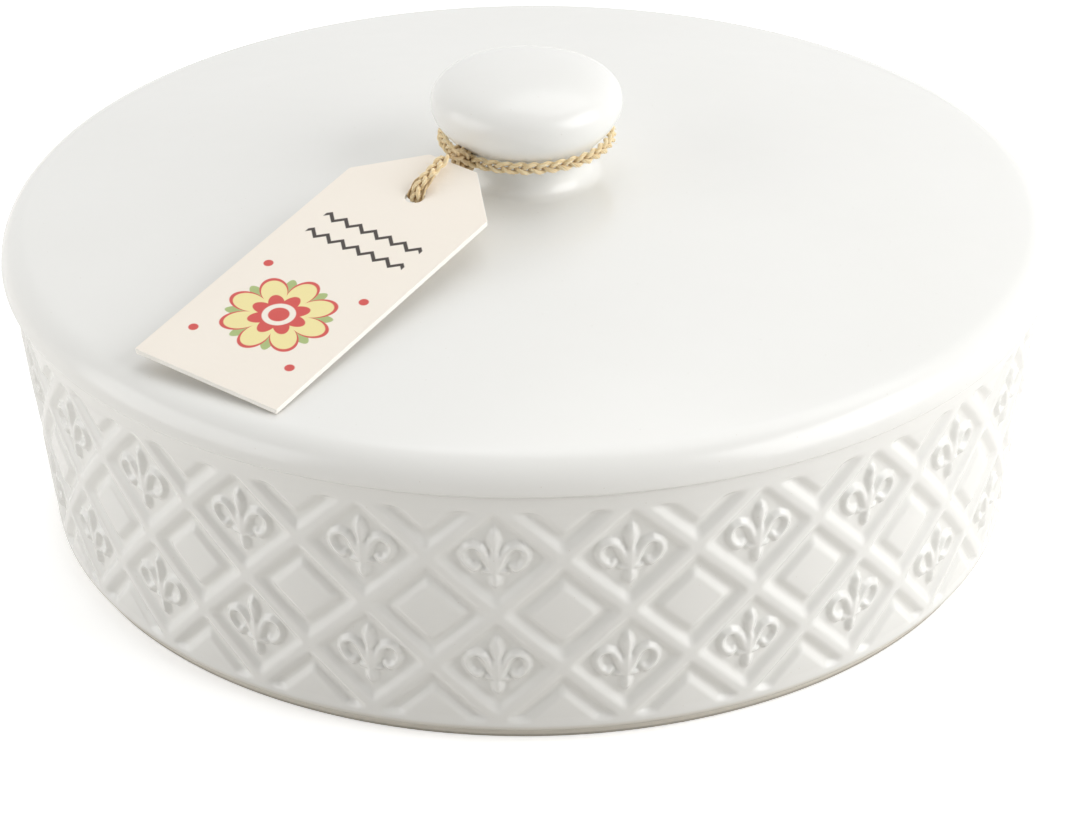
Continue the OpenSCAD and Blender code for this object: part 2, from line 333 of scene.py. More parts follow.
def reliefDepth(u, z):
    # Depth of the embossing in mm, 0 or below; u is 0 amid a lily and 1 amid a plain pad.
    half = lattice["tile"] / 2
    v = (z - lattice["rowMid"]) / lattice["rowPitch"]
    wrapA = np.abs(np.mod(u + v + 1, 2) - 1) * half / math.sqrt(2)
    wrapB = np.abs(np.mod(u - v + 1, 2) - 1) * half / math.sqrt(2)
    rounding = np.clip(lattice["corner"] - np.abs(wrapA - wrapB), 0, None)
    d = np.minimum(wrapA, wrapB) - rounding ** 2 / (4 * lattice["corner"])     # soft corners in each diamond
    sunk = smoothStep(lattice["crest"], lattice["flankEnd"], d)
    depth = -lattice["depth"] * sunk
    row = np.where(v > 0, 1, -1)
    flower = np.abs(u) + np.abs(v - row) <= 1
    petalFade = smoothStep(lattice["petalStart"], lattice["petalEnd"], d)
    petals = lilyHeight(u * half, (v - row) * lattice["rowPitch"]) * petalFade
    pad = (lattice["depth"] - lattice["padDepth"]) * smoothStep(lattice["padStart"], lattice["padEnd"], d)
    fade = smoothStep(*lattice["fadeLow"], z) * smoothStep(*lattice["fadeHigh"], z)
    return np.minimum(depth + np.where(flower, petals, pad), 0) * fade


def softened(depth, step):
    # The glaze rounds every edge: a short blur across the grid, which mirrors at both sides.
    reach = int(3 * lattice["soften"] / step) + 1
    k = np.exp(-0.5 * (np.arange(-reach, reach + 1) * step / lattice["soften"]) ** 2)
    k /= k.sum()
    wide = np.pad(depth, ((0, 0), (reach, reach)), "reflect")
    wide = np.apply_along_axis(lambda line: np.convolve(line, k, "valid"), 1, wide)
    tall = np.pad(wide, ((reach, reach), (0, 0)), "edge")
    return np.apply_along_axis(lambda line: np.convolve(line, k, "valid"), 0, tall)


def makeTile():
    # Half a column of the wall, flat: X along it, Y the relief, Z up. Its top and bottom edges stay coarse.
    nu, nz, coarse = lattice["acrossCells"], lattice["heightCells"], lattice["edgeCells"]
    half, low, high = lattice["tile"] / 2, lattice["low"], lattice["high"]
    zs = np.linspace(low + lattice["edgeBand"], high - lattice["edgeBand"], nz + 1)
    u, z = np.meshgrid(np.linspace(0, 1, nu + 1), zs)
    y = softened(reliefDepth(u, z), zs[1] - zs[0])
    relief = (y, zs)
    points = np.stack([u * half, y, z], -1).reshape(-1, 3)
    faces = [(r * (nu + 1) + c, r * (nu + 1) + c + 1, (r + 1) * (nu + 1) + c + 1, (r + 1) * (nu + 1) + c)
             for r in range(nz) for c in range(nu)]
    kept = set()
    for edgeZ, start in ((low, 0), (high, nz * (nu + 1))):
        first, step = len(points), nu // coarse
        kept.update(range(first, first + coarse + 1))
        points = np.concatenate([points, [(x, 0, edgeZ) for x in np.linspace(0, half, coarse + 1)]])
        for k in range(coarse):
            face = [first + k, first + k + 1] + [start + j for j in range((k + 1) * step, k * step - 1, -1)]
            faces.append(face if edgeZ == low else face[::-1])
    tile = makeObject("wallTile", makeMesh("wallTile", points * mm, faces))
    free = tile.vertex_groups.new(name="free")
    free.add([i for i in range(len(points)) if i not in kept], 1.0, "REPLACE")
    thin = tile.modifiers.new("thin", "DECIMATE")
    thin.ratio = lattice["triangles"] / sum(len(f) - 2 for f in faces)
    thin.vertex_group, thin.vertex_group_factor = "free", 1.0
    graph = bpy.context.evaluated_depsgraph_get()
    graph.update()
    thinned = bpy.data.meshes.new_from_object(tile.evaluated_get(graph))
    bpy.data.objects.remove(tile)
    b = bmesh.new()
    b.from_mesh(thinned)
    for v in b.verts:                    # the sides lie exactly on the mirror planes
        if v.is_boundary and low * mm + 1e-5 < v.co.z < high * mm - 1e-5:
            v.co.x = 0 if v.co.x < half * mm / 2 else half * mm
    b.to_mesh(thinned)
    b.free()
    print("wall tile:", len(thinned.polygons), "triangles")
    return makeObject("wallTile", thinned), relief


def latticeTree():
    # Mirrors the half tile, repeats it along X, then wraps the strip round the dish's leaning wall.
    tree, given, result = newTree("wrappedLattice", {
        "Columns": ("Int", 26), "Tile Width": ("Float", 0.028), "Turn": ("Float", 0.0),
        "Rim Radius": ("Float", 0.118), "Flare": ("Float", 0.007), "Height": ("Float", 0.065),
        "Depth": ("Float", 0.0013), "Material": ("Material", None)})
    size = given.outputs
    mirrored = addNode(tree, "GeometryNodeTransform", {"Geometry": size["Geometry"], "Scale": (-1, 1, 1)})
    mirrored = addNode(tree, "GeometryNodeFlipFaces", {0: mirrored.outputs[0]}).outputs[0]
    whole = tree.nodes.new("GeometryNodeJoinGeometry")
    tree.links.new(mirrored, whole.inputs[0])
    tree.links.new(size["Geometry"], whole.inputs[0])
    offset = addNode(tree, "ShaderNodeCombineXYZ", {"X": size["Tile Width"]}).outputs[0]
    line = addNode(tree, "GeometryNodeMeshLine", {"Count": size["Columns"], "Offset": offset}, mode="OFFSET")
    placed = addNode(tree, "GeometryNodeInstanceOnPoints",
                     {"Points": line.outputs[0], "Instance": whole.outputs[0]})
    strip = addNode(tree, "GeometryNodeRealizeInstances", {0: placed.outputs[0]}).outputs[0]
    spot = addNode(tree, "GeometryNodeInputPosition").outputs[0]
    flat = addNode(tree, "ShaderNodeSeparateXYZ", {0: spot}).outputs
    pool = calc(tree, "DIVIDE", times(tree, flat["Y"], -1.0), size["Depth"])
    kept = addNode(tree, "GeometryNodeStoreNamedAttribute",
                   {"Geometry": strip, "Name": "pool", "Value": calc(tree, "POWER", pool, 1.5)},
                   data_type="FLOAT", domain="POINT").outputs[0]
    share = calc(tree, "DIVIDE", flat["X"], times(tree, size["Tile Width"], size["Columns"]))
    angle = plus(tree, times(tree, share, 2 * math.pi), size["Turn"])
    up = less(tree, 1.0, calc(tree, "DIVIDE", flat["Z"], size["Height"]))
    lean = less(tree, size["Rim Radius"], times(tree, size["Flare"], up))
    radius = plus(tree, lean, flat["Y"])
    x = times(tree, radius, calc(tree, "SINE", angle))
    y = times(tree, times(tree, radius, calc(tree, "COSINE", angle)), -1.0)
    there = addNode(tree, "ShaderNodeCombineXYZ", {"X": x, "Y": y, "Z": flat["Z"]}).outputs[0]
    wrapped = addNode(tree, "GeometryNodeSetPosition", {"Geometry": kept, "Position": there}).outputs[0]
    merged = addNode(tree, "GeometryNodeMergeByDistance", {"Geometry": wrapped, "Distance": 1e-5}).outputs[0]
    real = addNode(tree, "GeometryNodeRealizeInstances", {0: merged}).outputs[0]
    done = addNode(tree, "GeometryNodeSetMaterial", {"Geometry": real, "Material": size["Material"]}).outputs[0]
    tree.links.new(done, result.inputs[0])
    return tree


def dishProfile():
    # Outside foot, inside and rim of the dish, from the wall's lower edge round to its upper edge, in mm.
    low, high, top = lattice["low"], lattice["high"], dish["height"]
    foot, width = wallRadius(0) - dish["footInset"], dish["footWidth"]
    fh, fr = dish["footHeight"], dish["rimRound"]
    floor = fh + dish["floor"]
    cove = dish["cove"]
    rim = dish["rimRadius"]
    inner = innerRadius(top)
    under = [(wallRadius(low), low), (wallRadius(4.1), 4.1)]
    under += arc(wallRadius(fh) - fr, fh + fr * 0.6, fr, 0, -60, 6)
    under += [(foot + 0.2, fh * 0.87), (foot, fh * 0.8), (foot, 0.4), (foot - 0.12, 0.12), (foot - 0.4, 0),
              (foot - width / 2, 0), (foot - width + 0.3, 0), (foot - width, 0.3), (foot - width, fh - 0.3),
              (foot - width - 0.3, fh)]
    under += [(r, fh) for r in (90, 70, 50, 30, 12)] + [(0, fh)]
    inside = [(0, floor)] + [(r, floor) for r in (12, 30, 50, 70, 90)]
    inside += arc(innerRadius(floor + cove) - cove, floor + cove, cove, -90, 0, 14)
    inside += [(innerRadius(z), z) for z in (20, 28, 36, 44, 52, 58, 61.5)]
    inside += arc(inner + fr, top - fr, fr, 180, 90, 7)
    inside += arc(rim - fr, top - fr, fr, 90, 0, 7)
    inside += [(wallRadius(62.6), 62.6), (wallRadius(high), high)]
    return under, inside


def shadeWall(mesh, relief):
    # The relief's exact normals, which the thinned triangles only come near to.
    depth, zs = relief
    half, around = lattice["tile"] / 2, lattice["tile"] * lattice["columns"] / (2 * math.pi)
    slopeZ, slopeU = np.gradient(depth, zs[1] - zs[0], half / lattice["acrossCells"])
    place = np.empty(len(mesh.vertices) * 3)
    mesh.vertices.foreach_get("co", place)
    x, y, z = place.reshape(-1, 3).T / mm
    normals = np.empty(len(mesh.vertices) * 3, dtype=np.float32)
    mesh.vertex_normals.foreach_get("vector", normals)
    normals = normals.reshape(-1, 3)
    r, angle = np.hypot(x, y), np.arctan2(x, -y)
    strip = (angle - math.radians(lattice["turn"])) * around / half
    u = np.mod(strip + 1, 2) - 1
    col = np.clip(np.abs(u), 0, 1) * lattice["acrossCells"]
    row = np.clip((z - zs[0]) / (zs[1] - zs[0]), 0, len(zs) - 1)
    c, k = np.minimum(col.astype(int), lattice["acrossCells"] - 1), np.minimum(row.astype(int), len(zs) - 2)
    s, t = col - c, row - k

    def between(grid):
        return ((1 - t) * ((1 - s) * grid[k, c] + s * grid[k, c + 1])
                + t * ((1 - s) * grid[k + 1, c] + s * grid[k + 1, c + 1]))

    turnSlope = between(slopeU) * np.sign(u) * around / r
    riseSlope = dish["flare"] / dish["height"] + between(slopeZ)
    sine, cosine = np.sin(angle), np.cos(angle)
    exact = np.stack([sine - turnSlope * cosine, -cosine - turnSlope * sine, -riseSlope], -1)
    exact /= np.linalg.norm(exact, axis=1)[:, None]
    outside = (r > wallRadius(z) - 2) & (z > zs[0] - 0.01) & (z < zs[-1] + 0.01)
    normals[outside] = exact[outside]
    mesh.normals_split_custom_set_from_vertices(normals.tolist())


def makeDish():
    tile, relief = makeTile()
    wall = runTree(tile, latticeTree(), {
        "Columns": lattice["columns"], "Tile Width": lattice["tile"] * mm,
        "Turn": math.radians(lattice["turn"]), "Rim Radius": dish["rimRadius"] * mm,
        "Flare": dish["flare"] * mm, "Height": dish["height"] * mm,
        "Depth": lattice["depth"] * mm, "Material": dishGlaze}, "dishWall")
    b = bmesh.new()
    b.from_mesh(wall)
    segments = lattice["columns"] * lattice["edgeCells"] * 2
    for profile in dishProfile():
        points, faces = turned(profile, segments, lattice["turn"])
        verts = [b.verts.new(p) for p in points]
        for face in faces:
            b.faces.new([verts[i] for i in face])
    bmesh.ops.remove_doubles(b, verts=b.verts, dist=2e-5)
    bmesh.ops.recalc_face_normals(b, faces=b.faces)
    b.to_mesh(wall)
    b.free()
    piece = makeObject("dishBody", wall, dishGlaze)
    shadeWall(wall, relief)
    print("dish:", len(wall.polygons), "faces, open edges", len(openEdges(wall)))
    return piece


def openEdges(mesh):
    b = bmesh.new()
    b.from_mesh(mesh)
    found = [e.index for e in b.edges if len(e.link_faces) != 2]
    b.free()
    return found


dishBody = makeDish()
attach(dishBody, "dish")
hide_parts("dish")


lid = {
    "overhang": 1.7, "domeRise": 16.2, "shoulder": 7.4, "edge": 1.0, "thickness": 5.5,
    "ringDepth": 5.0, "ringWidth": 5.0, "ringGap": 0.8, "underFillet": 2.5, "segments": 256,
}
knob = {
    "radius": 21.7, "middle": 17.5, "crown": 8.1, "neckRadius": 14.4, "neckHeight": 4.6, "neckFillet": 3.6,
}
apexZ = dish["height"] + lid["domeRise"]


def lidProfile():
    # From the knob's crown down its neck, over dome and shoulder, under the seat and ring, and up the hollow.
    lidR = dish["rimRadius"] + lid["overhang"]
    sx, sz, sr = lidR - lid["shoulder"], dish["height"] + lid["edge"], lid["shoulder"]
    fall = apexZ - sz
    domeR = (sx ** 2 + fall ** 2 - sr ** 2) / (2 * (fall - sr))
    edgeTurn = math.degrees(math.atan2(domeR - fall, sx))
    knobZ = apexZ + knob["middle"]
    kr, nr = knob["radius"], knob["neckRadius"]
    neckZ = apexZ + knob["neckHeight"]
    drop = knobZ - neckZ
    flare = nr + knob["neckFillet"]
    flareZ = apexZ - domeR + math.sqrt(domeR ** 2 - flare ** 2)
    top = dish["height"]
    ringOut = innerRadius(top - lid["ringDepth"]) - lid["ringGap"]
    ringIn = ringOut - lid["ringWidth"]
    hollowR = domeR - lid["thickness"]
    hollowZ = apexZ - domeR + math.sqrt(hollowR ** 2 - ringIn ** 2)
    uf = lid["underFillet"]
    p = bezier((0, knobZ + knob["crown"]), (0.68 * kr, knobZ + knob["crown"]),
               (kr, knobZ + 0.68 * knob["crown"]), (kr, knobZ), 30)
    p += bezier((kr, knobZ), (kr, knobZ - 0.44 * drop), (nr, neckZ + 0.32 * drop), (nr, neckZ), 26)[1:]
    p += bezier((nr, neckZ), (nr, neckZ - 0.6 * knob["neckHeight"]), (nr + 0.3 * knob["neckFillet"], flareZ),
                (flare, flareZ), 16)[1:]
    p += arc(0, apexZ - domeR, domeR, 90 - math.degrees(math.asin(flare / domeR)) - 0.2, edgeTurn, 30)
    p += arc(sx, sz, sr, edgeTurn, 0, 22)[1:]
    p += arc(lidR - lid["edge"], sz, lid["edge"], 0, -90, 8)[1:]
    p += [(118.0, top), (112.6, top), (innerRadius(top) - lid["ringGap"] + 0.4, top)]
    p += arc(innerRadius(top) - lid["ringGap"] + 0.4, top - 0.4, 0.4, 90, 180, 4)[1:]
    p += [(ringOut, top - lid["ringDepth"] + 1)]
    p += arc(ringOut - 1, top - lid["ringDepth"] + 1, 1, 0, -90, 6)[1:]
    p += arc(ringIn + 1, top - lid["ringDepth"] + 1, 1, -90, -180, 6)
    p += arc(ringIn - uf, hollowZ - uf, uf, 0, 80, 8)
    p += arc(0, apexZ - domeR, hollowR, 90 - math.degrees(math.asin((ringIn - uf) / hollowR)), 90, 24)
    return [(0, p[0][1])] + p[1:-1] + [(0, p[-1][1])]


def makeLid():
    points, faces = turned(lidProfile(), lid["segments"], 0)
    mesh = makeMesh("lidBody", points, faces)
    cleanMesh(mesh)
    piece = makeObject("lidBody", mesh, lidGlaze)
    print("lid:", len(mesh.polygons), "faces, open edges", len(openEdges(mesh)))
    return piece


lidBody = makeLid()
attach(lidBody, "lid")
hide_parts("lid")


tag = {
    "length": 88.0, "width": 37.6, "thickness": 1.2, "cutX": 12.3, "cutY": 13.4, "holeWidth": 4.4,
    "holeIn": 14.5, "hole": (-24.6694, -30.4641, 89.0), "lean": 10.1558, "roll": 4.6, "turn": -35.0,
    "corner": 0.5, "edge": 0.14,
}
tagPlace = Matrix.Translation(Vector(tag["hole"]) * mm) @ Euler(
    [math.radians(a) for a in (tag["lean"], tag["roll"], tag["turn"])], "XYZ").to_matrix().to_4x4()


def onTag(points):
    # Points in the tag's own frame, in mm, brought to the row frame in metres.
    return [tagPlace @ (Vector(p) * mm) for p in points]


def tagOutline():
    half, end, far = tag["width"] / 2, tag["holeIn"], tag["holeIn"] - tag["length"]
    corners = [(-half, far), (half, far), (half, end - tag["cutY"]), (half - tag["cutX"], end),
               (tag["cutX"] - half, end), (-half, end - tag["cutY"])]
    outline = []
    for i, here in enumerate(corners):
        here = Vector(here)
        before, after = Vector(corners[i - 1]), Vector(corners[(i + 1) % len(corners)])
        a = here + (before - here).normalized() * tag["corner"]
        c = here + (after - here).normalized() * tag["corner"]
        for t in (0, 0.25, 0.5, 0.75, 1):
            outline.append(a * (1 - t) ** 2 + here * 2 * t * (1 - t) + c * t * t)
    return outline


def makeTag(material):
    b = bmesh.new()
    rings = []
    hole = [Vector((math.cos(a), math.sin(a))) * tag["holeWidth"] / 2
            for a in np.radians(np.arange(0, 360, 7.5))]
    for line in (tagOutline(), hole):
        verts = [b.verts.new((p.x * mm, p.y * mm, 0)) for p in line]
        rings.append([b.edges.new((v, verts[(i + 1) % len(verts)])) for i, v in enumerate(verts)])
    bmesh.ops.triangle_fill(b, edges=rings[0] + rings[1], use_beauty=True)
    lower = bmesh.ops.extrude_face_region(b, geom=list(b.faces))
    moved = [g for g in lower["geom"] if isinstance(g, bmesh.types.BMVert)]
    bmesh.ops.translate(b, verts=moved, vec=(0, 0, -tag["thickness"] * mm))
    bmesh.ops.recalc_face_normals(b, faces=b.faces)
    rim = [e for e in b.edges if len(e.link_faces) == 2 and e.calc_face_angle() > 1.2]
    bmesh.ops.bevel(b, geom=rim, offset=tag["edge"] * mm, segments=3, profile=0.6, affect="EDGES")
    mesh = bpy.data.meshes.new("tagCard")
    b.to_mesh(mesh)
    b.free()
    uv = mesh.uv_layers.new(name="print")
    for loop in mesh.loops:
        p = mesh.vertices[loop.vertex_index].co
        uv.data[loop.index].uv = (p.x / mm, p.y / mm)          # in mm from the hole
    mesh.transform(tagPlace)
    mesh.polygons.foreach_set("use_smooth", [False] * len(mesh.polygons))
    return makeObject("tagCard", mesh, material, smooth=False)


cardInk = {
    "card": (0.93, 0.865, 0.775), "pale": (0.955, 0.90, 0.83), "core": (0.97, 0.945, 0.89),
    "dark": (0.055, 0.045, 0.04),
    "yellow": (0.90, 0.80, 0.40), "red": (0.66, 0.10, 0.09), "green": (0.42, 0.52, 0.22),
    "rosetteY": -48.5, "rosetteR": 13.5, "zigzagY": (-15.5, -22.0),
}


def makeCard():
    # Cream board with a paler core at its edges and a plain printed rosette under two zigzag lines.
    material, tree, surface = newMaterial("tagCard")
    place = addNode(tree, "ShaderNodeTexCoord").outputs["Object"]
    uv = addNode(tree, "ShaderNodeUVMap", uv_map="print").outputs[0]
    spot = addNode(tree, "ShaderNodeSeparateXYZ", {0: uv}).outputs
    x, y = spot["X"], spot["Y"]

    def step(edge, value, blur=0.12):
        return ranged(tree, value, (edge - blur, edge + blur), (1.0, 0.0))

    def distance(a, b):
        return calc(tree, "SQRT", plus(tree, times(tree, a, a), times(tree, b, b)))

    def wavy(wave, power, swing, base):
        raised = wave if power == 1 else calc(tree, "POWER", wave, power)
        return plus(tree, times(tree, raised, swing * reach), base * reach)

    blotch = times(tree, noise(tree, place, 60.0, 2.0), 0.5)
    mottled = blended(tree, blotch, cardInk["card"], cardInk["pale"])
    # rosette: polar distance and angle round its middle
    reach = cardInk["rosetteR"]
    ry = less(tree, y, cardInk["rosetteY"])
    r = distance(x, ry)
    turn = times(tree, calc(tree, "ARCTAN2", ry, x), 4.0)
    petalWave = calc(tree, "ABSOLUTE", calc(tree, "COSINE", turn))
    leafWave = calc(tree, "ABSOLUTE", calc(tree, "SINE", turn))
    petal = less(tree, r, wavy(petalWave, 0.6, 0.42, 0.52))
    leaf = less(tree, r, wavy(leafWave, 3.0, 0.38, 0.5))
    heart = less(tree, r, wavy(petalWave, 1, 0.16, 0.34))
    # four dots at the corners of the rosette's square
    dot = distance(*(less(tree, calc(tree, "ABSOLUTE", side), 0.95 * reach) for side in (x, ry)))
    colour = mottled
    for mask, ink in ((step(0.0, leaf), "green"), (step(0.0, petal), "red"), (step(-0.9, petal), "yellow"),
                      (step(0.0, heart), "red"), (step(0.27 * reach, r), "card"),
                      (step(0.17 * reach, r), "red"), (step(1.1, dot), "red")):
        colour = blended(tree, mask, colour, cardInk[ink])
    for lineY in cardInk["zigzagY"]:
        tooth = calc(tree, "PINGPONG", plus(tree, x, 30.0), 2.0)
        away = calc(tree, "ABSOLUTE", less(tree, less(tree, y, lineY), less(tree, tooth, 1.0)))
        line = times(tree, step(0.62, away), step(13.0, calc(tree, "ABSOLUTE", x)))
        colour = blended(tree, line, colour, cardInk["dark"])
    # only the printed face carries ink; cut edges show the pale core
    normal = addNode(tree, "ShaderNodeNewGeometry").outputs["True Normal"]
    facing = tagPlace.to_3x3() @ Vector((0, 0, 1))
    up = addNode(tree, "ShaderNodeVectorMath", {0: normal, 1: facing},
                 operation="DOT_PRODUCT").outputs["Value"]
    front = calc(tree, "GREATER_THAN", up, 0.95)
    edge = calc(tree, "LESS_THAN", calc(tree, "ABSOLUTE", up), 0.95)
    final = blended(tree, edge, blended(tree, front, mottled, colour), cardInk["core"])
    tree.links.new(final, surface.inputs["Base Color"])
    surface.inputs["Roughness"].default_value = 0.72
    addBump(tree, surface, 0.12, 0.4 * mm, noise(tree, place, 700.0, 4.0))
    return material


tagCard = makeTag(makeCard())
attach(tagCard, "tag")
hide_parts("tag")
print("tag made")


twine = {
    "plies": 3, "plyOffset": 0.93, "pitch": 9.0, "strands": 5, "strandOffset": 0.33, "strandRadius": 0.2,
    "strandPitch": 4.6, "wander": 1.2, "plyWander": 0.3, "step": 0.3, "sides": 5,
    "hairDensity": 0.03, "hairLength": 1.8, "hairRadius": 0.03,
    "straw": (0.98, 0.88, 0.64), "tan": (0.88, 0.66, 0.34), "dark": (0.46, 0.27, 0.10),
}
knot = {
    "loopRadius": 19.24, "loopHeight": 90.2, "loopTilt": 75.0, "turn": -46.0, "tail": 6.0, "tailRise": 3.6,
    "wrapRadius": 1.95, "wraps": 1.8, "wrapLength": 3.4, "wrapScale": 0.9, "wrapShade": 0.7, "tieScale": 1.0,
    "strayScale": 0.4, "seeds": {"loop": 3, "wraps": 5, "tie": 9, "strays": 12},
}
tieRoute = [      # the tie in the tag's own frame, in mm
    (-0.95, 13.2, 2.15), (-0.8, 11.2, 2.2), (-0.6, 8.6, 2.15), (-0.4, 5.6, 2.1),
    (-0.2, 3.1, 1.9), (0, 1.1, 1.0), (0, 0.2, -0.6), (0, 1.1, -2.3),
    (-0.15, 3.4, -3.2), (-0.4, 7.0, -3.4), (-0.6, 10.2, -3.6), (-0.8, 12.4, -3.5),
]
strayRoutes = [   # loose strands that fill the hole beside the tie
    [(side * 0.9, 6.2, 2.2), (side * 1.3, 3.4, 2.0), (side * 1.55, 1.3, 1.1), (side * 1.5, 0.1, -0.6),
     (side * 1.4, 1.2, -2.2), (side * 0.9, 4.0, -3.2)] for side in (-1, 1)
]


def makeJute():
    # Straw strands of two tones with fine fibres along them, painted shade in the gaps where they meet, and
    # more painted shade on pieces given a shade, such as the knot's wraps.
    material, tree, surface = newMaterial("jute")

    def stored(name):
        return addNode(tree, "ShaderNodeAttribute", attribute_name=name).outputs["Fac"]

    lines = addNode(tree, "ShaderNodeCombineXYZ", {
        "X": times(tree, stored("around"), 5.0), "Y": times(tree, stored("along"), 500.0),
        "Z": times(tree, stored("tone"), 31.0)}).outputs[0]
    fibre = addNode(tree, "ShaderNodeTexNoise", {"Vector": lines, "Scale": 1.0, "Detail": 4.0,
                                                 "Roughness": 0.65}).outputs["Fac"]
    amount = plus(tree, times(tree, stored("tone"), 0.55), ranged(tree, fibre, (0.4, 0.75), (0.0, 0.7)))
    straw = blended(tree, amount, twine["straw"], twine["tan"])
    # painted shade: darker deep in the twine towards its middle, and darker on pieces given a shade
    creviceShade = ranged(tree, stored("depth"), (0.15, 0.65), (0.9, 0.0))
    paintedShade = calc(tree, "MINIMUM", plus(tree, creviceShade, times(tree, stored("shade"), fibre)), 1.0)
    tree.links.new(blended(tree, paintedShade, straw, twine["dark"]), surface.inputs["Base Color"])
    surface.inputs["Roughness"].default_value = 0.75
    surface.inputs["Sheen Weight"].default_value = 0.2
    addBump(tree, surface, 0.5, 0.2 * mm, fibre)
    return material


def scaled(tree, vector, amount):
    return addNode(tree, "ShaderNodeVectorMath", {0: vector, "Scale": amount}, operation="SCALE").outputs[0]


def layCopies(tree, curve, count, offset, pitch, wander, seed, plaited):
    # Copies each curve and lays the copies round it, as a helix or plaited, wandering a little.
    copies = addNode(tree, "GeometryNodeDuplicateElements", {"Geometry": curve, "Amount": count},
                     domain="SPLINE")
    share = calc(tree, "DIVIDE", copies.outputs["Duplicate Index"], count)
    length = addNode(tree, "GeometryNodeSplineLength").outputs["Length"]
    turns = calc(tree, "ROUND", calc(tree, "DIVIDE", length, pitch))
    factor = addNode(tree, "GeometryNodeSplineParameter").outputs["Factor"]
    angle = times(tree, plus(tree, times(tree, factor, turns), share), 2 * math.pi)
    normal = addNode(tree, "GeometryNodeInputNormal").outputs[0]
    tangent = addNode(tree, "GeometryNodeInputTangent").outputs[0]
    side = addNode(tree, "ShaderNodeVectorMath", {0: tangent, 1: normal}, operation="CROSS_PRODUCT").outputs[0]
    place = plus(tree, times(tree, share, 40.0), seed)      # every copy sways in its own way
    cloud = addNode(tree, "ShaderNodeTexNoise", {"W": place, "Scale": 450.0},
                    noise_dimensions="4D").outputs["Fac"]
    loose = times(tree, less(tree, cloud, 0.5), wander)
    reach = times(tree, offset, plus(tree, loose, 1.0))
    sway = times(tree, calc(tree, "COSINE", angle), reach)
    if plaited:
        rise = times(tree, calc(tree, "SINE", times(tree, angle, 2.0)), times(tree, reach, 0.5))
    else:
        rise = times(tree, calc(tree, "SINE", angle), reach)
    shift = addNode(tree, "ShaderNodeVectorMath", {0: scaled(tree, normal, sway), 1: scaled(tree, side, rise)},
                    operation="ADD").outputs[0]
    laid = addNode(tree, "GeometryNodeSetPosition", {"Geometry": copies.outputs[0], "Offset": shift}).outputs[0]
    return addNode(tree, "GeometryNodeSetCurveNormal", {"Curve": laid}, mode="MINIMUM_TWIST").outputs[0], share


def keep(tree, geometry, name, value):
    return addNode(tree, "GeometryNodeStoreNamedAttribute",
                   {"Geometry": geometry, "Name": name, "Value": value},
                   data_type="FLOAT", domain="POINT").outputs[0]


def sweep(tree, curve, profile):
    return addNode(tree, "GeometryNodeCurveToMesh",
                   {"Curve": curve, "Profile Curve": profile, "Fill Caps": True}).outputs[0]


